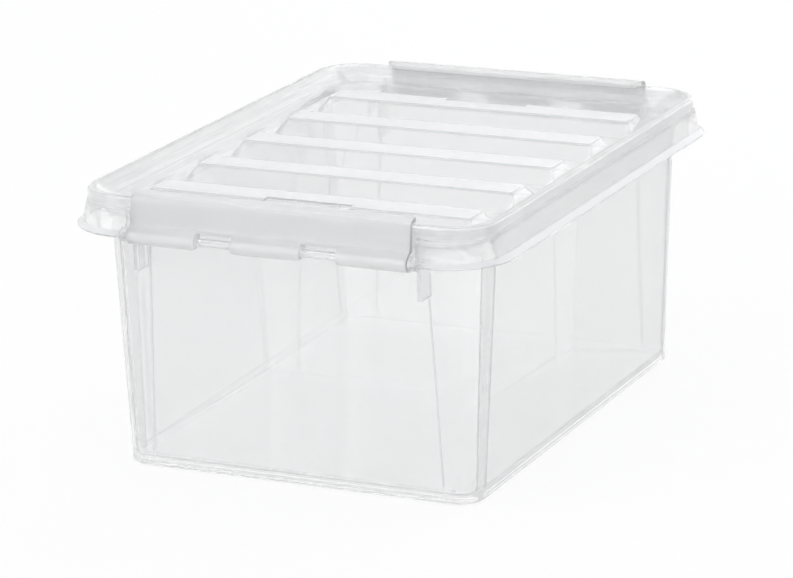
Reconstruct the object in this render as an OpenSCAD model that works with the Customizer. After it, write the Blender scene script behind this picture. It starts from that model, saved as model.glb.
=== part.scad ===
// Clip box for storing potatoes: clear tapered container, lid with raised ridges, two end clips.
// X is the width, Y the length, Z is up. The origin is the centre of the base, on the surface it stands on.
// The front clip is at -Y and the rear clip at +Y.

/* [Container] */
// Width between the centre lines of the two long rims
rim_w = 230.4; // [210:0.1:260]
// Length between the centre lines of the two short rims
rim_l = 313.8; // [290:0.1:350]
// Height of the rim's top edge above the floor it stands on
rim_h = 152.3; // [120:0.1:200]
// Corner radius of the rim's centre line
rim_corner_r = 22.3; // [16:0.1:30]
// Thickness of the rim wall that stands in the lid's channel
rim_t = 1.3; // [1:0.1:1.5]
// Width of the container across its base
base_w = 206.3; // [190:0.1:210]
// Length of the container along its base
base_l = 283.1; // [266:0.1:287]
// Corner radius at the base
base_corner_r = 13; // [12:0.1:18]
// Radius of the corner columns where their lines meet the ledge
column_r = 22; // [18:0.1:26]
// Width of the flat that each corner column has on the end walls
column_end_w = 6.5; // [4:0.1:9]
// Height of the band round the base
base_band_h = 3.2; // [2.4:0.1:5]
// Distance that the end walls stand back from the band
base_step = 1.2; // [0.3:0.1:2]
// Distance that the end walls stand further in than the mouth, below their shoulder
end_inset = 7.1; // [5:0.1:8]
// Corner radius at the mouth
mouth_corner_r = 26.1; // [22:0.1:30]
// Thickness of the corner columns
wall_t = 1.8; // [1.4:0.1:2.2]
// Depth by which the flat walls stand back from the corner columns
wall_recess = 0.6; // [0.2:0.1:0.9]
// Thickness of the floor
floor_t = 1.8; // [1.2:0.1:3]
// Height of the perimeter foot under the floor
foot_h = 2.2; // [1:0.1:4]
// Width of the perimeter foot
foot_w = 5.6; // [3:0.1:9]
// Radius of the fillet between floor and walls
floor_fillet = 4; // [2:0.1:7]

/* [Rim and apron] */
// Distance from the rim's centre line in to the outside of the walls
ledge_in = 4.3; // [3.6:0.1:6]
// Drop from the rim's top to the ledge inside the mouth
ledge_drop = 7.1; // [6:0.1:9]
// Thickness of the ledge
ledge_t = 1.6; // [1.2:0.1:2.2]
// Drop from the rim's top to the flange outside it
flange_drop = 4.5; // [4.2:0.1:6]
// Thickness of flange and apron
apron_t = 1.5; // [1.2:0.1:1.8]
// Distance from the rim's centre line out to the top of the apron
apron_top_out = 3.3; // [3.1:0.1:4.5]
// Distance that the apron leans out down to its lip
apron_lean = 3.1; // [2:0.1:4]
// Distance that the lip turns out at the apron's foot
lip_out = 3.4; // [2:0.1:4.5]
// Drop from the rim's top to the underside of the lip
apron_drop = 18.9; // [16:0.1:24]

/* [Lid] */
// Wall thickness of the lid
lid_t = 1.4; // [1:0.1:1.6]
// Half width of the bead that covers the rim
bead_half = 2.5; // [2.3:0.05:2.7]
// Height of the bead above the rim's top
bead_rise = 1.7; // [1.6:0.1:2.6]
// Running gap between the lid's channel and the rim
rim_gap = 0.35; // [0.25:0.05:0.5]
// Drop from the rim's top to the bottom of the bead's outer skirt
skirt_drop = 4; // [2.5:0.1:4.1]
// Drop from the rim's top to the top face of the recessed panel
panel_drop = 12; // [10.5:0.1:16]
// Gap between the lid's inner wall and the container's mouth
mouth_gap = 0.45; // [0.3:0.05:1]
// Inward lean of the lid's inner wall below the ledge
panel_lean = 1.7; // [0.8:0.1:3]

/* [Ridges] */
// Number of raised ridges across the lid
ridge_n = 5; // [1:2:5]
// Distance from one ridge to the next
ridge_pitch = 54.4; // [46:0.1:56]
// Length of a ridge's flat top across the lid
ridge_top_l = 186; // [120:1:188]
// Width of a ridge's flat top
ridge_top_w = 18; // [8:0.5:20]
// Height of a ridge above the panel
ridge_h = 7.5; // [4:0.1:10]
// Sloped run of a ridge's two long flanks
ridge_flank = 9; // [5:0.1:12]
// Sloped run of a ridge's two ends
ridge_end = 4.8; // [3:0.1:7]
// Corner radius of a ridge's flat top
ridge_corner_r = 2.4; // [1:0.1:4]
// Width of the pocket in the outer flank of the two end ridges
pocket_w = 50; // [30:1:80]
// Depth of the pocket into the end ridge's top
pocket_in = 4; // [2:0.1:6]
// Height of the pocket's step below the ridge's top
pocket_drop = 3; // [1.5:0.1:4]

/* [Clips] */
// Width of a clip
clip_w = 160; // [130:1:176]
// Wall thickness of a clip
clip_t = 1.8; // [1.4:0.1:2.2]
// Gap between the closed clip and the lid's bead
clip_gap = 0.6; // [0.4:0.05:1]
// Distance that the clip's lip reaches inward past the rim's centre line
clip_reach = 5.8; // [5:0.1:6.2]
// Depth of the hook under the clip's lip
hook_d = 0.7; // [0.3:0.1:0.9]
// Width of the two gaps between the hinge knuckles
knuckle_gap_w = 20.8; // [16:0.1:26]
// Distance from the clip's middle to the centre of each gap
knuckle_gap_x = 30.2; // [26:0.1:34]
// Height of the gaps above the knuckles
window_h = 0.4; // [0:0.1:3]
// Width between the two stiffening ribs behind each knuckle
rib_span = 17; // [10:0.5:24]

/* [Hinges] */
// Diameter of the hinge rod moulded on the container
rod_d = 4.4; // [3.6:0.1:5]
// Radial running gap between the rod and the knuckles
rod_gap = 0.08; // [0.05:0.01:0.1]
// Wall thickness of the knuckles round the rod
knuckle_t = 2.1; // [1.8:0.1:2.6]
// Distance from the rim's centre line out to the hinge axis
rod_out = 8; // [7.8:0.1:10]
// Drop from the rim's top to the hinge axis
rod_drop = 17.3; // [16.5:0.1:20]
// Width of the snap opening in the knuckles
snap_w = 3.5; // [3:0.1:3.6]
// Side gap between knuckles and the webs or brackets beside them
side_gap = 0.5; // [0.3:0.05:1]
// Width of the brackets at the rod's ends
bracket_w = 4.2; // [3:0.1:7]
// Thickness of the fins below the brackets
fin_t = 2.2; // [1.2:0.1:2.6]
// Height of the fins' lower edge below the hinge axis
fin_drop = 21.9; // [10:0.1:30]
// Thickness of the webs and of the plate that carry the rod
web_t = 1.5; // [1.2:0.1:2]

/* [Hidden] */
$fn = 48;

arc_n = 12;
facet_n = 3;
column_flat = 0.6;
column_step = 0.9;
rim_x = rim_w / 2;
rim_y = rim_l / 2;
ledge_z = rim_h - ledge_drop;
flange_z = rim_h - flange_drop;
lip_z = rim_h - apron_drop;
mouth_x = rim_x - ledge_in;
mouth_y = rim_y - ledge_in;
panel_z = rim_h - panel_drop;
bead_z = rim_h + bead_rise;
floor_z = foot_h + floor_t;
shoulder_z = panel_z - lid_t + 1.2 - end_inset;
base_edge = 2;
knuckle_r = rod_d / 2 + rod_gap + knuckle_t;
rod_z = rim_h - rod_drop;
rod_y = rim_y + rod_out;
plate_out = rod_out - knuckle_r - 0.4;
bracket_x = clip_w / 2 + side_gap;
zone_x = bracket_x + bracket_w;

// Point i of a corner's arc, moved by f onto the chords of the column's flat facets
function arc_pt(r, i, f) =
    let (per = arc_n / facet_n, k = floor(i / per), u = i / per - k, step = 90 / facet_n)
    let (round_pt = [cos(90 * i / arc_n), sin(90 * i / arc_n)])
    let (flat_pt = (1 - u) * [cos(step * k), sin(step * k)] + u * [cos(step * (k + 1)), sin(step * (k + 1))])
    r * ((1 - f) * round_pt + f * flat_pt);
// Corner of a rounded rectangle with a small step beside each end of its arc
function corner_pts(hx, hy, r, s, f, e) = concat(
    [[hx - s, hy - r - column_flat - column_step], [hx, hy - r - column_flat]],
    [for (i = [0:arc_n]) [hx - r, hy - r] + arc_pt(r, i, f)],
    [[hx - r - e, hy], [hx - r - e - column_step, hy - s]]);
function flip(pts) = [for (i = [len(pts) - 1:-1:0]) pts[i]];
function mirrored(pts, sx, sy) = [for (p = pts) [sx * p[0], sy * p[1]]];
// One closed ring of points: half width, half length, corner radius, height, step depth, facets, end flat
function ring(hx, hy, r, z, s = 0, f = 0, e = column_flat) =
    let (c = corner_pts(hx, hy, r, s, f, e))
    let (all = concat(c, flip(mirrored(c, -1, 1)), mirrored(c, -1, -1), flip(mirrored(c, 1, -1))))
    [for (p = all) [p[0], p[1], z]];
// Ring at a distance o outside the rim's centre line
function rim_ring(o, z) = ring(rim_x + o, rim_y + o, rim_corner_r + o + max(0, o - 3) * 0.5, z);
// Position on the tapered wall between base and mouth
function taper(z) = (z - base_edge) / (ledge_z - base_edge);
function wall_x(z) = base_w / 2 + (mouth_x - base_w / 2) * taper(z);
function wall_y(z) = base_l / 2 + (mouth_y - base_l / 2) * taper(z);
function wall_r(z) = base_corner_r + (mouth_corner_r - base_corner_r) * taper(z);
function end_y(z) = base_l / 2 - base_step + (mouth_y - end_inset - base_l / 2 + base_step) * taper(z);
function end_r(z) = base_corner_r + (column_r - base_corner_r) * taper(z);
function wall_ring(o, z, s, f = 0) = ring(wall_x(z) + o, wall_y(z) + o, wall_r(z) + o, z, s, f);
// The same below the end walls' shoulder, at the height z or with its sizes taken at the height from
function low_ring(o, z, s = 0, f = 0, from = -1) =
    let (h = from < 0 ? z : from)
    ring(wall_x(h) + o, end_y(h) + o, end_r(h) + o, z, s, f, column_end_w * 0.7 * (1 + taper(h)));
function base_ring(o, z) = ring(base_w / 2 + o, base_l / 2 + o, base_corner_r + 1 + o, z, e = column_end_w * 0.7);

// Solid through a stack of rings centred on the Z axis, closed by its first ring below and its last above
module loft(rings) {
    n = len(rings[0]);
    m = len(rings);
    pts = concat([for (rg = rings) each rg], [[0, 0, rings[0][0][2]], [0, 0, rings[m - 1][0][2]]]);
    sides = [for (i = [0:m - 2]) for (j = [0:n - 1])
        let (a = i * n + j, b = i * n + (j + 1) % n, c = (i + 1) * n + (j + 1) % n, d = (i + 1) * n + j)
        each [[a, d, c], [a, c, b]]];
    caps = [for (j = [0:n - 1])
        each [[m * n, j, (j + 1) % n], [m * n + 1, (m - 1) * n + (j + 1) % n, (m - 1) * n + j]]];
    polyhedron(points = pts, faces = concat(caps, sides), convexity = 10);
}

// Container: foot, tapered walls with corner columns, ledge, rim, flange and apron with its lip
module container_shell() {
    half_t = rim_t / 2;
    ledge_low = ledge_z - ledge_t;
    apron_mid = lip_z + 2.9;
    loft([
        low_ring(-foot_w - 1.2, foot_h),
        low_ring(-foot_w, 0, from = base_edge),
        base_ring(-0.9, 0),
        base_ring(-0.2, 0.5),
        base_ring(0, 1.2),
        base_ring(0, base_band_h - 0.7),
        low_ring(-0.1, base_band_h, wall_recess * 0.5),
        low_ring(0, base_band_h + 1, wall_recess),
        low_ring(0, base_band_h + 4, wall_recess, 1),
        low_ring(0, shoulder_z, wall_recess, 1),
        wall_ring(0, shoulder_z + end_inset, wall_recess, 1),
        wall_ring(0, ledge_low - 1.4, wall_recess, 1),
        wall_ring(0, ledge_low, 0),
        rim_ring(half_t - 0.6, ledge_low),
        rim_ring(half_t, ledge_low + 0.6),
        rim_ring(half_t, flange_z - apron_t),
        rim_ring(apron_top_out - apron_t, flange_z - apron_t - 0.3),
        rim_ring(apron_top_out + apron_lean - apron_t, apron_mid - 0.6),
        rim_ring(apron_top_out + apron_lean + lip_out - apron_t, lip_z),
        rim_ring(apron_top_out + apron_lean + lip_out - 0.3, lip_z),
        rim_ring(apron_top_out + apron_lean + lip_out, lip_z + 0.4),
        rim_ring(apron_top_out + apron_lean + lip_out, lip_z + 1.0),
        rim_ring(apron_top_out + apron_lean + 0.5, apron_mid - 0.1),
        rim_ring(apron_top_out + apron_lean - 0.1, apron_mid + 0.6),
        rim_ring(apron_top_out, flange_z - 0.7),
        rim_ring(apron_top_out - 0.5, flange_z),
        rim_ring(half_t, flange_z),
        rim_ring(half_t - 0.1, rim_h - 0.35),
        rim_ring(half_t - 0.4, rim_h),
        rim_ring(0.3 - half_t, rim_h),
        rim_ring(-half_t, rim_h - 0.35),
        rim_ring(-half_t, ledge_z),
        wall_ring(-wall_t + 0.9, ledge_z, 0),
        wall_ring(-wall_t, ledge_z - 0.8, 0.1),
        wall_ring(-wall_t, shoulder_z + end_inset + wall_t * 0.42, 0.1),
        low_ring(-wall_t, shoulder_z + wall_t * 0.42, 0.1, 1),
        low_ring(-wall_t, floor_z + floor_fillet, 0.1, 1),
        low_ring(-wall_t - floor_fillet * 0.3, floor_z + floor_fillet * 0.3),
        low_ring(-wall_t - floor_fillet, floor_z)
    ]);
}

// Side profile extruded across X, given as points [distance outside the rim's centre line, height]
module profile(pts, x0, x1) {
    translate([x0, 0, 0])
        rotate([90, 0, 90])
            linear_extrude(height = x1 - x0)
                polygon([for (p = pts) [rim_y + p[0], rim_h + p[1]]]);
}

module rod_cylinder(r, x0, x1) {
    translate([x0, rod_y, rod_z])
        rotate([0, 90, 0])
            cylinder(r = r, h = x1 - x0);
}

// Hinge mount at +Y: plate behind the clip, two webs, rod, end brackets and fins
module hinge_mount() {
    half_t = rim_t / 2;
    plate_pts = [
        [half_t - 0.4, -flange_drop - apron_t], [plate_out - web_t, -flange_drop - apron_t],
        [plate_out - web_t, -rod_drop - 1.8], [plate_out, -rod_drop - 1.8],
        [plate_out, -flange_drop], [half_t - 0.4, -flange_drop]];
    profile(plate_pts, -zone_x, zone_x);
    rod_cylinder(rod_d / 2, -zone_x + 0.1, zone_x - 0.1);
    web_w = knuckle_gap_w - 2 * side_gap;
    web_pts = [
        [plate_out - 0.3, -rod_drop - web_t / 2], [rod_out, -rod_drop - web_t / 2],
        [rod_out, -rod_drop + web_t / 2], [plate_out - 0.3, -rod_drop + web_t / 2]];
    boss_pts = [
        [plate_out - 0.4, -rod_drop + 4.4], [rod_out - 0.8, -rod_drop + 4.2], [rod_out + 2.2, -rod_drop + 3.4],
        [rod_out + 3.5, -rod_drop + 1.2], [rod_out + 3.5, -rod_drop - 1.2],
        [rod_out + 2.3, -rod_drop - 2.9], [rod_out - 0.2, -rod_drop - 3.4],
        [plate_out - web_t, -rod_drop - 1.8]];
    lip_b = -apron_drop;
    end_wall_pts = [
        [half_t - 0.4, -flange_drop], [apron_top_out - 0.6, -flange_drop],
        [apron_top_out - 0.1, -flange_drop - 0.7], [apron_top_out + apron_lean - 0.2, lip_b + 3.5],
        [apron_top_out + apron_lean + 0.4, lip_b + 2.7], [apron_top_out + apron_lean + lip_out - 0.1, lip_b + 1],
        [apron_top_out + apron_lean + lip_out - 0.1, lip_b + 0.3],
        [apron_top_out + apron_lean + lip_out - 0.4, lip_b + 0.1],
        [plate_out - web_t, lip_b + 0.1], [half_t - 0.4, -ledge_drop - ledge_t]];
    fin_z = rod_z - fin_drop;
    fin_pts = [
        [end_y(fin_z) - rim_y - wall_recess - 0.5, fin_z - rim_h],
        [-0.3, fin_z - rim_h], [0.1, fin_z - rim_h + 0.5], [0.1, -rod_drop - 2.2],
        [plate_out - 0.5, -rod_drop - 0.4], [plate_out - 0.5, -flange_drop - 0.4], [half_t - 0.4, -flange_drop - 0.4],
        [-ledge_in - 0.6, -ledge_drop - ledge_t + 0.3], [-ledge_in - 0.6, shoulder_z + end_inset - rim_h],
        [end_y(shoulder_z) - rim_y - wall_recess - 0.5, shoulder_z - rim_h]];
    for (side = [-1, 1]) {
        profile(web_pts, side * knuckle_gap_x - web_w / 2, side * knuckle_gap_x + web_w / 2);
        bracket_a = side > 0 ? bracket_x : -zone_x;
        profile(boss_pts, bracket_a, bracket_a + bracket_w);
        wall_a = side > 0 ? zone_x - apron_t : -zone_x;
        profile(end_wall_pts, wall_a, wall_a + apron_t);
        fin_x = side * (bracket_x + fin_t / 2 + 0.1);
        profile(fin_pts, fin_x - fin_t / 2, fin_x + fin_t / 2);
    }
}

// Space that the clip's hinge takes out of the apron at +Y
module apron_cut() {
    translate([-zone_x, rim_y + rim_t / 2 + 0.05, lip_z - 1])
        cube([2 * zone_x, apron_top_out + apron_lean + lip_out + 2, flange_z - lip_z + 2]);
}

module container() color([0.86, 0.9, 0.93, 0.45]) {
    difference() {
        container_shell();
        for (turn = [0, 180])
            rotate([0, 0, turn])
                apron_cut();
    }
    for (turn = [0, 180])
        rotate([0, 0, turn])
            hinge_mount();
}

// Lid: bead over the rim, inner wall into the mouth, recessed panel
module lid_shell() {
    half_t = rim_t / 2;
    mouth_o = -wall_t - 0.1 - mouth_gap;
    wall_z = ledge_z + 0.3;
    wide = lid_t * 1.06;
    loft([
        wall_ring(mouth_o - panel_lean - 1.9, panel_z - lid_t, 0),
        wall_ring(mouth_o - panel_lean - 0.6, panel_z - lid_t + 0.4, 0),
        wall_ring(mouth_o - panel_lean, panel_z - lid_t + 1.3, 0),
        wall_ring(mouth_o, wall_z, 0),
        rim_ring(-half_t - rim_gap - 0.5, rim_h - 0.8),
        rim_ring(-half_t - rim_gap, rim_h + bead_rise - lid_t - 0.3),
        rim_ring(-half_t - rim_gap + 0.4, rim_h + bead_rise - lid_t),
        rim_ring(half_t + rim_gap - 0.4, rim_h + bead_rise - lid_t),
        rim_ring(half_t + rim_gap, rim_h + bead_rise - lid_t - 0.4),
        rim_ring(half_t + rim_gap + 0.1, rim_h - skirt_drop),
        rim_ring(bead_half - 0.2, rim_h - skirt_drop),
        rim_ring(bead_half + 0.05, rim_h - skirt_drop + 0.4),
        rim_ring(bead_half, bead_z - 1.6),
        rim_ring(bead_half - 0.4, bead_z - 0.6),
        rim_ring(bead_half - 1.2, bead_z),
        rim_ring(1.3 - bead_half, bead_z),
        rim_ring(0.4 - bead_half, bead_z - 0.4),
        rim_ring(-bead_half - 0.2, bead_z - 1.3),
        wall_ring(mouth_o - wide, wall_z - 0.1, 0),
        wall_ring(mouth_o - panel_lean - wide, panel_z + 0.7, 0),
        wall_ring(mouth_o - panel_lean - wide - 0.8, panel_z, 0)
    ]);
}

// Small rounded rectangle ring for the ridges
function ridge_ring(hx, hy, r, z) = [for (q = [0:3]) for (i = [0:3])
    let (sx = (q == 0 || q == 3) ? 1 : -1, sy = q < 2 ? 1 : -1, t = 90 * q + 30 * i)
    [sx * (hx - r) + r * cos(t), sy * (hy - r) + r * sin(t), z]];

// Outside of one ridge: hipped flanks with an eased top edge
module ridge_outer() {
    tx = ridge_top_l / 2;
    ty = ridge_top_w / 2;
    ease = 0.7;
    low = -lid_t / 2;
    k = low / ridge_h;
    loft([
        ridge_ring(tx + ridge_end * (1 - k), ty + ridge_flank * (1 - k), ridge_corner_r + 3, low),
        ridge_ring(tx + ridge_end * ease / ridge_h, ty + ridge_flank * ease / ridge_h,
            ridge_corner_r + 0.4, ridge_h - ease),
        ridge_ring(tx, ty, ridge_corner_r, ridge_h - 0.15),
        ridge_ring(tx - 0.5, ty - 0.5, ridge_corner_r - 0.4, ridge_h)
    ]);
}

// Hollow under one ridge, the wall thickness inside its faces
module ridge_hollow() {
    tx = ridge_top_l / 2;
    ty = ridge_top_w / 2;
    in_y = lid_t * sqrt(1 + pow(ridge_flank / ridge_h, 2));
    in_x = lid_t * sqrt(1 + pow(ridge_end / ridge_h, 2));
    low = -lid_t - 0.5;
    kl = low / ridge_h;
    kt = (ridge_h - lid_t) / ridge_h;
    loft([
        ridge_ring(tx + ridge_end * (1 - kl) - in_x, ty + ridge_flank * (1 - kl) - in_y,
            ridge_corner_r + 2, low),
        ridge_ring(tx + ridge_end * (1 - kt) - in_x, ty + ridge_flank * (1 - kt) - in_y,
            ridge_corner_r, ridge_h - lid_t)
    ]);
}

// Pocket at the middle of an end ridge's outer flank, at the flank's top edge
module pocket(grow) {
    translate([-pocket_w / 2 - grow, ridge_top_w / 2 - pocket_in - grow, ridge_h - pocket_drop - grow])
        cube([pocket_w + 2 * grow, pocket_in + ridge_flank + 2 * grow, pocket_drop + 2 * grow]);
}

module lid() color([0.87, 0.91, 0.94, 0.5]) {
    last = (ridge_n - 1) / 2;
    difference() {
        union() {
            lid_shell();
            for (i = [-last:last])
                translate([0, i * ridge_pitch, panel_z])
                    ridge_outer();
        }
        for (i = [-last:last])
            translate([0, i * ridge_pitch, panel_z])
                rotate([0, 0, i < 0 ? 180 : 0])
                    difference() {
                        ridge_hollow();
                        if (abs(i) == last)
                            pocket(lid_t);
                    }
        for (turn = [0, 180])
            rotate([0, 0, turn])
                translate([0, last * ridge_pitch, panel_z])
                    pocket(0);
    }
}

// Clip at +Y: curved cover, lip over the bead, three C-shaped knuckles on the rod
module clip_body() {
    in_a = bead_half + clip_gap;
    top_b = bead_rise + clip_gap;
    zone = clip_w / 2;
    out_a = in_a + clip_t;
    cover = [
        [rod_out + knuckle_r * 0.63, -rod_drop + knuckle_r * 0.75],
        [rod_out + 1.5, -rod_drop + 4.4],
        [rod_out + 0.3, -rod_drop + 5.1],
        [out_a + 2.3, -rod_drop + 6.1],
        [out_a + 1.8, -rod_drop + 7.7],
        [out_a + 1.5, -rod_drop + 9.8],
        [out_a + 1.2, -flange_drop - 1.2],
        [out_a + 0.8, -flange_drop + 0.5],
        [out_a + 0.4, -1.2],
        [out_a + 0.1, top_b - 0.7],
        [out_a - 0.5, top_b + clip_t - 1],
        [out_a - 1.5, top_b + clip_t - 0.1],
        [out_a - 3, top_b + clip_t + 0.5],
        [in_a - 3.4, top_b + clip_t + 0.8],
        [1.6 - clip_reach, top_b + clip_t + 0.7],
        [0.5 - clip_reach, top_b + clip_t + 0.3],
        [-clip_reach, top_b + clip_t - 0.5],
        [-clip_reach, top_b - hook_d + 0.3],
        [-clip_reach + 0.5, top_b - hook_d],
        [-clip_reach + 1.5, top_b - hook_d],
        [-clip_reach + 2.1, top_b],
        [in_a - 1.8, top_b],
        [in_a - 0.5, top_b - 0.4],
        [in_a - 0.1, top_b - 1.2],
        [in_a + 0.3, -0.6],
        [in_a + 0.8, -flange_drop],
        [in_a + 1.3, -rod_drop + 9.8],
        [in_a + 1.6, -rod_drop + 7.7],
        [in_a + 2.1, -rod_drop + 5.6],
        [rod_out - 1.5, -rod_drop + knuckle_r * 0.88]];
    cheek = [
        [plate_out + 0.5, -rod_drop + 5.2], [rod_out - 0.6, -rod_drop + 4], [rod_out + 0.6, -rod_drop + 4.2],
        [out_a + 2, -rod_drop + 6.1], [out_a + 1.4, -rod_drop + 7.7], [out_a + 1.1, -rod_drop + 9.8],
        [out_a + 0.8, -flange_drop - 1.2], [out_a + 0.1, -1.2], [in_a + 0.9, 0], [in_a + 0.1, -0.4],
        [in_a + 0.1, -flange_drop + 0.6], [plate_out + 0.5, -flange_drop - 0.4]];
    gap_a = knuckle_gap_x - knuckle_gap_w / 2;
    gap_b = knuckle_gap_x + knuckle_gap_w / 2;
    outer_mid = (zone + gap_b) / 2;
    half_span = rib_span / 2;
    ribs = [half_span, gap_a - 0.5, gap_b + 0.5, outer_mid - half_span, outer_mid + half_span];
    lip_corner = 6;
    difference() {
        union() {
            difference() {
                union() {
                    profile(cover, -zone, zone);
                    for (side = [-1, 1]) {
                        end_x = side > 0 ? zone - 1.6 : -zone;
                        profile(cheek, end_x, end_x + 1.6);
                    }
                    for (rib_x = ribs)
                        for (side = [-1, 1])
                            profile(cheek, side * rib_x - 0.5, side * rib_x + 0.5);
                    rod_cylinder(knuckle_r, -zone, zone);
                }
                for (side = [-1, 1])
                    knuckle_gap(side);
            }
        }
        rod_cylinder(rod_d / 2 + rod_gap, -zone - 1, zone + 1);
        translate([-zone - 1, rod_y - knuckle_r - 1, rod_z - snap_w / 2])
            cube([clip_w + 2, knuckle_r + 1, snap_w]);
        for (side = [-1, 1])
            translate([side * zone, rim_y - clip_reach, rim_h])
                rotate([0, 0, 45])
                    cube([lip_corner, lip_corner, 30], center = true);
    }
}

// Gap between two knuckles, chamfered at its lower corners
module knuckle_gap(side) {
    half = knuckle_gap_w / 2;
    low = rod_z - knuckle_r - 1;
    translate([side * knuckle_gap_x, rod_y + knuckle_r + 3, 0])
        rotate([90, 0, 0])
            linear_extrude(height = 2 * knuckle_r + 6)
                polygon([
                    [-half - 3, low], [half + 3, low], [half, low + 2.8],
                    [half, rod_z + knuckle_r + window_h], [-half, rod_z + knuckle_r + window_h],
                    [-half, low + 2.8]]);
}

module clip_rear() color([0.95, 0.96, 0.97, 0.8])
    clip_body();

module clip_front() color([0.95, 0.96, 0.97, 0.8])
    rotate([0, 0, 180])
        clip_body();

container();
lid();
clip_front();
clip_rear();
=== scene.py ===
import math

import bmesh
import bpy
from mathutils import Matrix, Vector


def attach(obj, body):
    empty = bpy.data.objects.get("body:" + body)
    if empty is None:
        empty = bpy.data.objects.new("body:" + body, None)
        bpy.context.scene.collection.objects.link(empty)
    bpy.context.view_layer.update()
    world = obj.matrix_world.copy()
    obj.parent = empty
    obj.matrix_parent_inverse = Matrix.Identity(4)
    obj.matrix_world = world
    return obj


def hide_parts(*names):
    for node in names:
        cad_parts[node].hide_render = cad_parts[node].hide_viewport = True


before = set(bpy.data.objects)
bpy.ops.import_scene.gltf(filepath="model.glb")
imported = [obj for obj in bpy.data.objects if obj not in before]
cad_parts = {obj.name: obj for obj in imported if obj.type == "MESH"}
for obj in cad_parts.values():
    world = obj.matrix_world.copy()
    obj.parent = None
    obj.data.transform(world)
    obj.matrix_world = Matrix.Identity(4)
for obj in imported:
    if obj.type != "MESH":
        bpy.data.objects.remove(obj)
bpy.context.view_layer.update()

scene = bpy.context.scene
scene.view_settings.view_transform = "Standard"

# Studio: the camera stands at the photograph's angle, a little above the box and to the right of
# its front end. The floor and the world are plain white, and broad soft lamps light the plastic.
FRAME_WIDTH = 793
SENSOR_WIDTH = 36
FOCAL_PX = 3922.4
CAMERA_TURN = math.radians(25.316)
CAMERA_RISE = math.radians(16.377)
CAMERA_ROLL = math.radians(-1.479)
CAMERA_AWAY = 2.19118
CAMERA_SIDE = -0.00645
CAMERA_UP = 0.065448
CAMERA_SEES = 50
WHITE = (1, 1, 1, 1)
ROOM_TINT = (0.97, 0.98, 1, 1)
ROOM_LIGHT = 0.72
FLOOR_COLOUR = (0.9, 0.9, 0.9, 1)
FLOOR_GLOW = 0.88
FLOOR_REACH = 6
FLOOR_Z = -0.0006
LAMP_SIZE = 2.0
LAMP_AIM = Vector((0, 0, 0.1))
LAMPS = (("key_soft", (-1.3, -1.2, 1.3), 12),
         ("front_soft", (0.3, -2.2, 0.8), 12),
         ("side_soft", (1.9, -0.6, 0.9), 5),
         ("back_soft", (0.3, 1.7, 1.3), 15))

camera_back = Vector((math.sin(CAMERA_TURN) * math.cos(CAMERA_RISE),
                      -math.cos(CAMERA_TURN) * math.cos(CAMERA_RISE), math.sin(CAMERA_RISE)))
level_right = Vector((math.cos(CAMERA_TURN), math.sin(CAMERA_TURN), 0))
level_up = camera_back.cross(level_right)
camera_right = math.cos(CAMERA_ROLL) * level_right + math.sin(CAMERA_ROLL) * level_up
camera_up = math.cos(CAMERA_ROLL) * level_up - math.sin(CAMERA_ROLL) * level_right
camera_data = bpy.data.cameras.new("photo_camera")
camera_data.sensor_width = SENSOR_WIDTH
camera_data.lens = FOCAL_PX * SENSOR_WIDTH / FRAME_WIDTH
camera_data.clip_end = CAMERA_SEES
camera = bpy.data.objects.new("photo_camera", camera_data)
scene.collection.objects.link(camera)
camera_place = Matrix((camera_right, camera_up, camera_back)).transposed().to_4x4()
camera_place.translation = (CAMERA_SIDE * camera_right + CAMERA_UP * camera_up
                            + CAMERA_AWAY * camera_back)
camera.matrix_world = camera_place
scene.camera = camera


def node(tree, kind, at=(0, 0), **values):
    made = tree.nodes.new(kind)
    made.location = at
    for name, value in values.items():
        setattr(made, name, value)
    return made


def link_math(tree, operation, first, second, at=(0, 0), clamp=False):
    made = node(tree, "ShaderNodeMath", at, operation=operation, use_clamp=clamp)
    for number, value in enumerate((first, second)):
        if isinstance(value, (int, float)):
            made.inputs[number].default_value = value
        else:
            tree.links.new(value, made.inputs[number])
    return made.outputs[0]


def seen_directly(tree):
    path = node(tree, "ShaderNodeLightPath", (-700, 200))
    either = link_math(tree, "MAXIMUM", path.outputs["Is Camera Ray"],
                       path.outputs["Is Glossy Ray"], (-500, 200))
    return link_math(tree, "MAXIMUM", either, path.outputs["Is Transmission Ray"], (-300, 200))


def shown_or_lit(tree, seen, lit, shown, output_kind):
    pick = node(tree, "ShaderNodeMixShader", (200, 0))
    out = node(tree, output_kind, (400, 0))
    for number, source in enumerate((seen, lit.outputs[0], shown.outputs[0])):
        tree.links.new(source, pick.inputs[number])
    tree.links.new(pick.outputs[0], out.inputs[0])


world = bpy.data.worlds.new("studio_white")
scene.world = world
world.use_nodes = True
room = world.node_tree
room.nodes.clear()
room_lit = node(room, "ShaderNodeBackground", (-100, 0))
room_lit.inputs["Color"].default_value = ROOM_TINT
room_lit.inputs["Strength"].default_value = ROOM_LIGHT
room_shown = node(room, "ShaderNodeBackground", (-100, -150))
room_shown.inputs["Color"].default_value = WHITE
shown_or_lit(room, seen_directly(room), room_lit, room_shown, "ShaderNodeOutputWorld")

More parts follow.
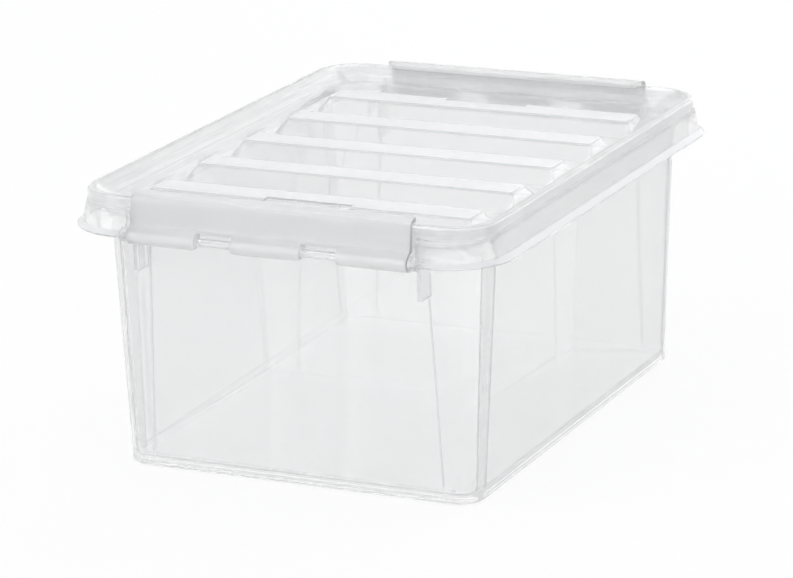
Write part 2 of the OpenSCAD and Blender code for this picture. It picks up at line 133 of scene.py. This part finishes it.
floor_white = bpy.data.materials.new("floor_white")
floor_white.use_nodes = True
ground = floor_white.node_tree
ground.nodes.clear()
floor_lit = node(ground, "ShaderNodeBsdfDiffuse", (-100, 0))
floor_lit.inputs["Color"].default_value = FLOOR_COLOUR
floor_shown = node(ground, "ShaderNodeEmission", (-100, -150))
floor_shown.inputs["Color"].default_value = WHITE
floor_seen = link_math(ground, "MULTIPLY", seen_directly(ground), FLOOR_GLOW, (-100, 200))
shown_or_lit(ground, floor_seen, floor_lit, floor_shown, "ShaderNodeOutputMaterial")
floor_mesh = bpy.data.meshes.new("floor")
floor_mesh.from_pydata([(FLOOR_REACH * x, FLOOR_REACH * y, FLOOR_Z)
                        for x, y in ((-1, -1), (1, -1), (1, 1), (-1, 1))], [], [(0, 1, 2, 3)])
floor_mesh.materials.append(floor_white)
floor = bpy.data.objects.new("floor", floor_mesh)
scene.collection.objects.link(floor)

for lamp_name, spot, power in LAMPS:
    lamp_data = bpy.data.lights.new(lamp_name, "AREA")
    lamp_data.shape = "SQUARE"
    lamp_data.size = LAMP_SIZE
    lamp_data.energy = power
    lamp = bpy.data.objects.new(lamp_name, lamp_data)
    scene.collection.objects.link(lamp)
    lamp.location = spot
    lamp.rotation_euler = (LAMP_AIM - Vector(spot)).to_track_quat("-Z", "Y").to_euler()

# Container: one injection moulding in clear polypropylene, slightly hazy, with thin tapered walls,
# facetted corners, a drooping apron and the hinge rods on which the two clips are snapped.
WELD_WITHIN = 2e-6
SHARP_FROM = math.radians(24)
FLAT_WEIGHT = 50
WALL_BOTTOM, WALL_TOP = 0.0025, 0.1339
FLAT_WITHIN = math.radians(0.3)
LONG_EDGE = 0.1
EASED_FROM, EASED_TO = math.radians(12), math.radians(32)
EASED_WIDTH = 0.0005


def moulded_copy(cad_name, piece_name, ease_corners=False):
    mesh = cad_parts[cad_name].data.copy()
    shell = bmesh.new()
    shell.from_mesh(mesh)
    bmesh.ops.remove_doubles(shell, verts=shell.verts, dist=WELD_WITHIN)
    if ease_corners:
        on_walls = [edge for edge in shell.edges
                    if all(WALL_BOTTOM < vert.co.z < WALL_TOP for vert in edge.verts)]
        ends = dict.fromkeys(vert for edge in on_walls for vert in edge.verts)
        bmesh.ops.dissolve_limit(shell, angle_limit=FLAT_WITHIN, edges=on_walls, verts=list(ends))
        corner_lines = [edge for edge in shell.edges
                        if len(edge.link_faces) == 2 and edge.calc_length() > LONG_EDGE
                        and abs(edge.verts[0].co.z - edge.verts[1].co.z) > LONG_EDGE
                        and EASED_FROM < edge.calc_face_angle(0) < EASED_TO]
        bmesh.ops.bevel(shell, geom=corner_lines, offset=EASED_WIDTH, offset_type="OFFSET",
                        segments=1, profile=0.5, affect="EDGES", clamp_overlap=True)
    for face in shell.faces:
        face.smooth = True
    for edge in shell.edges:
        edge.smooth = len(edge.link_faces) == 2 and edge.calc_face_angle(0) < SHARP_FROM
    shell.to_mesh(mesh)
    shell.free()
    raw = bpy.data.objects.new(piece_name + "_raw", mesh)
    scene.collection.objects.link(raw)
    true_flats = raw.modifiers.new("true_flats", "WEIGHTED_NORMAL")
    true_flats.keep_sharp = True
    true_flats.weight = FLAT_WEIGHT
    evaluated = raw.evaluated_get(bpy.context.evaluated_depsgraph_get())
    finished = bpy.data.meshes.new_from_object(evaluated)
    bpy.data.objects.remove(raw)
    finished.name = piece_name
    finished.materials.clear()
    piece = bpy.data.objects.new(piece_name, finished)
    scene.collection.objects.link(piece)
    return piece


FLOW_SCALE = 16
GRAIN_SCALE = 1100
SCRATCH_SCALE = 34
SCRATCH_TURN = (0.3, 0.2, 0.5)
SCRATCH_STRETCH = (1, 60, 60)
SCRATCH_FROM, SCRATCH_FULL = 0.66, 0.74
CLOUD_SCALE = 9

moulded_skin = bpy.data.node_groups.new("moulded_skin", "ShaderNodeTree")
for socket_name, kind, way in (("Place", "NodeSocketVector", "INPUT"),
                               ("Flow Depth", "NodeSocketFloat", "INPUT"),
                               ("Grain Depth", "NodeSocketFloat", "INPUT"),
                               ("Scuffs", "NodeSocketFloat", "INPUT"),
                               ("Height", "NodeSocketFloat", "OUTPUT"),
                               ("Scuff Mask", "NodeSocketFloat", "OUTPUT"),
                               ("Cloud", "NodeSocketFloat", "OUTPUT")):
    moulded_skin.interface.new_socket(name=socket_name, socket_type=kind, in_out=way)
skin_in = node(moulded_skin, "NodeGroupInput", (-900, 0))
skin_out = node(moulded_skin, "NodeGroupOutput", (700, 0))


def noise(scale, detail, where, at):
    made = node(moulded_skin, "ShaderNodeTexNoise", at)
    made.inputs["Scale"].default_value = scale
    made.inputs["Detail"].default_value = detail
    moulded_skin.links.new(where, made.inputs["Vector"])
    return made.outputs[0]


flow = noise(FLOW_SCALE, 1, skin_in.outputs["Place"], (-600, 300))
grain = noise(GRAIN_SCALE, 1, skin_in.outputs["Place"], (-600, 50))
stretch = node(moulded_skin, "ShaderNodeMapping", (-750, -250))
stretch.inputs["Rotation"].default_value = SCRATCH_TURN
stretch.inputs["Scale"].default_value = SCRATCH_STRETCH
moulded_skin.links.new(skin_in.outputs["Place"], stretch.inputs["Vector"])
scratch_line = node(moulded_skin, "ShaderNodeMapRange", (-400, -250))
scratch_line.inputs["From Min"].default_value = SCRATCH_FROM
scratch_line.inputs["From Max"].default_value = SCRATCH_FULL
moulded_skin.links.new(noise(SCRATCH_SCALE, 2, stretch.outputs[0], (-600, -250)),
                       scratch_line.inputs["Value"])
cloud = noise(CLOUD_SCALE, 3, skin_in.outputs["Place"], (-600, -500))
flow_height = link_math(moulded_skin, "MULTIPLY", flow, skin_in.outputs["Flow Depth"],
                        (-300, 300))
grain_height = link_math(moulded_skin, "MULTIPLY", grain, skin_in.outputs["Grain Depth"],
                         (-300, 50))
skin_height = link_math(moulded_skin, "ADD", flow_height, grain_height, (0, 200))
scuff_mask = link_math(moulded_skin, "MULTIPLY", scratch_line.outputs[0],
                       skin_in.outputs["Scuffs"], (0, -250))
for source, socket_name in ((skin_height, "Height"), (scuff_mask, "Scuff Mask"),
                            (cloud, "Cloud")):
    moulded_skin.links.new(source, skin_out.inputs[socket_name])

PP_IOR = 1.45
GLOW_DEPTH = 0.008
TINT_DIP = 0.975
EVEN_ROUGH, CLOUDY_ROUGH, SCUFF_ROUGH = 0.8, 0.4, 0.1
SCUFF_FILM = 0.2


def plastic(name, colour, clear, film, rough, flow_depth, grain_depth, scuffs, glow_through=0):
    made = bpy.data.materials.new(name)
    made.use_nodes = True
    tree = made.node_tree
    tree.nodes.clear()
    place_on = node(tree, "ShaderNodeTexCoord", (-1000, 0))
    skin = node(tree, "ShaderNodeGroup", (-800, 0), node_tree=moulded_skin)
    skin.inputs["Flow Depth"].default_value = flow_depth
    skin.inputs["Grain Depth"].default_value = grain_depth
    skin.inputs["Scuffs"].default_value = scuffs
    tree.links.new(place_on.outputs["Object"], skin.inputs["Place"])
    surface = node(tree, "ShaderNodeBsdfPrincipled", (200, 0))
    surface.inputs["Transmission Weight"].default_value = clear
    surface.inputs["IOR"].default_value = PP_IOR
    surface.inputs["Subsurface Weight"].default_value = glow_through
    surface.inputs["Subsurface Scale"].default_value = GLOW_DEPTH
    surface.inputs["Subsurface Radius"].default_value = (1, 1, 1)
    tint = node(tree, "ShaderNodeMix", (-300, 300), data_type="RGBA")
    tint.inputs[6].default_value = (*(TINT_DIP * part for part in colour), 1)
    tint.inputs[7].default_value = (*colour, 1)
    tree.links.new(skin.outputs["Cloud"], tint.inputs[0])
    tree.links.new(tint.outputs[2], surface.inputs["Base Color"])
    cloudy = link_math(tree, "MULTIPLY", skin.outputs["Cloud"], CLOUDY_ROUGH * rough, (-500, 100))
    scuffed = link_math(tree, "MULTIPLY", skin.outputs["Scuff Mask"], SCUFF_ROUGH, (-500, -50))
    uneven = link_math(tree, "ADD", cloudy, scuffed, (-300, 50))
    tree.links.new(link_math(tree, "ADD", uneven, EVEN_ROUGH * rough, (-100, 50)),
                   surface.inputs["Roughness"])
    slant = node(tree, "ShaderNodeLayerWeight", (-800, -300))
    slant.inputs["Blend"].default_value = 0.5
    by_slant = node(tree, "ShaderNodeMapRange", (-550, -300))
    by_slant.inputs["To Min"].default_value, by_slant.inputs["To Max"].default_value = film
    tree.links.new(slant.outputs["Facing"], by_slant.inputs["Value"])
    scuff_film = link_math(tree, "MULTIPLY", skin.outputs["Scuff Mask"], SCUFF_FILM, (-300, -400))
    tree.links.new(link_math(tree, "ADD", by_slant.outputs[0], scuff_film, (-100, -300), True),
                   surface.inputs["Alpha"])
    bump = node(tree, "ShaderNodeBump", (-100, -500))
    bump.inputs["Distance"].default_value = 1
    tree.links.new(skin.outputs["Height"], bump.inputs["Height"])
    tree.links.new(bump.outputs[0], surface.inputs["Normal"])
    out = node(tree, "ShaderNodeOutputMaterial", (500, 0))
    tree.links.new(surface.outputs[0], out.inputs[0])
    return made


# Grey for the corner strips, the rim lip and the lid's ridge edges: painted shade that darkens
# these thin faces.
PAINTED_SHADE_GREY = (0.8, 0.81, 0.82)
LINE_CLEAR = 0.35
LINE_FILM = (0.9, 0.95)
LINE_ROUGH = 0.2
STRIP_SHORTEST, STRIP_LONGEST = 0.06, 0.14
STRIP_WIDEST = 0.0016
STRIP_CORNERS = 8
STRIP_LEAN = 0.35
STRIP_FROM_X = 0.07
CORNER_CENTRE = (0.0929, 0.1346)
LIP_FROM_CENTRE = 0.0284
LIP_FROM_X = 0.088
LIP_BOTTOM, LIP_TOP = 0.134, 0.1369
LIP_FACING_UP = 0.3

container = moulded_copy("container", "container_moulding", True)
container.data.materials.append(plastic(
    "container_clear_pp", (0.955, 0.958, 0.963), clear=0.86, film=(0.5, 0.85), rough=0.05,
    flow_depth=0.0002, grain_depth=0.000004, scuffs=0.1))
container.data.materials.append(plastic(
    "container_corner_painted_shade", PAINTED_SHADE_GREY, LINE_CLEAR, LINE_FILM, LINE_ROUGH,
    flow_depth=0.0001, grain_depth=0.000004, scuffs=0.1))
# Long thin strips on the eased corners, and the upward faces of the rim lip near the corners, take
# the grey finish: painted shade lines along the corners and a painted greying of the lip.
for face in container.data.polygons:
    corners = [container.data.vertices[number].co for number in face.vertices]
    reach = 0
    if len(corners) <= STRIP_CORNERS:
        reach = max((a - b).length for a in corners for b in corners)
    shaded_strip = (STRIP_SHORTEST < reach < STRIP_LONGEST and face.area / reach < STRIP_WIDEST
             and abs(face.normal.z) < STRIP_LEAN and abs(face.center.x) > STRIP_FROM_X)
    outward = math.hypot(max(abs(face.center.x) - CORNER_CENTRE[0], 0),
                         max(abs(face.center.y) - CORNER_CENTRE[1], 0))
    shaded_lip = (outward > LIP_FROM_CENTRE and abs(face.center.x) > LIP_FROM_X
           and LIP_BOTTOM < face.center.z < LIP_TOP and face.normal.z > LIP_FACING_UP)
    face.material_index = 1 if shaded_lip or shaded_strip else 0
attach(container, "container")
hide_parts("container")

# Lid: the same polypropylene, a little milkier, moulded with a rounded bead that grips the rim and
# five ridges. The flat ridge tops are rougher than their sides and are painted whiter, a painted
# sheen of the light from above.
RIDGE_FIELD = (0.1, 0.135)
TOP_FACING_UP = 0.8
TOP_LOWEST, TOP_HIGHEST = 0.1465, 0.1492
EDGE_LOWEST, EDGE_HIGHEST = 0.14705, 0.14785
EDGE_STEEPEST, EDGE_FLATTEST = 0.1, 0.99

lid = moulded_copy("lid", "lid_moulding")
lid.data.materials.append(plastic(
    "lid_clear_pp", (0.962, 0.965, 0.97), clear=0.82, film=(0.55, 0.88), rough=0.07,
    flow_depth=0.0002, grain_depth=0.000006, scuffs=0.1))
# Ridge tops: a rougher, more finely grained surface, painted whiter and less clear than the lid as
# a painted sheen of the light from above.
lid.data.materials.append(plastic(
    "lid_ridge_painted_sheen", (0.97, 0.975, 0.98), clear=0.4, film=(0.95, 1.0), rough=0.35,
    flow_depth=0.0001, grain_depth=0.00002, scuffs=0.1))
# Ridge edges: the grey finish, painted shade lines along the eased edges of the ridges.
lid.data.materials.append(plastic(
    "lid_ridge_edge_painted_shade", PAINTED_SHADE_GREY, LINE_CLEAR, LINE_FILM, LINE_ROUGH,
    flow_depth=0.0001, grain_depth=0.000006, scuffs=0.1))
for face in lid.data.polygons:
    inside = abs(face.center.x) < RIDGE_FIELD[0] and abs(face.center.y) < RIDGE_FIELD[1]
    painted_sheen_top = face.normal.z > TOP_FACING_UP and TOP_LOWEST < face.center.z < TOP_HIGHEST
    shaded_ridge_edge = (EDGE_LOWEST < face.center.z < EDGE_HIGHEST
             and EDGE_STEEPEST < face.normal.z < EDGE_FLATTEST)
    face.material_index = 2 if shaded_ridge_edge and inside else 1 if painted_sheen_top and inside else 0
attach(lid, "lid")
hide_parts("lid")

# Clips: milky white polypropylene, thicker than the box. Each clip is one moulding, with knuckles
# that snap round the container's rods and a nose that hooks over the lid's bead.
END_FACING = 0.9
END_FROM_X = 0.079

# The clips' end faces take a mid grey: painted shade that darkens the ends of the milky white
# clips.
clip_end = plastic("clip_end_painted_shade_pp", (0.5, 0.51, 0.52), clear=0.2, film=(0.95, 1.0), rough=0.2,
                   flow_depth=0.0001, grain_depth=0.00001, scuffs=0.05)
for clip_name in ("clip_front", "clip_rear"):
    clip = moulded_copy(clip_name, clip_name + "_moulding")
    clip.data.materials.append(plastic(
        clip_name + "_milky_pp", (0.985, 0.986, 0.988), clear=0.3, film=(0.55, 0.75), rough=0.2,
        flow_depth=0.0001, grain_depth=0.00001, scuffs=0.04, glow_through=1.0))
    clip.data.materials.append(clip_end)
    for face in clip.data.polygons:
        shaded_clip_end = abs(face.normal.x) > END_FACING and abs(face.center.x) > END_FROM_X
        face.material_index = 1 if shaded_clip_end else 0
    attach(clip, clip_name)
    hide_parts(clip_name)
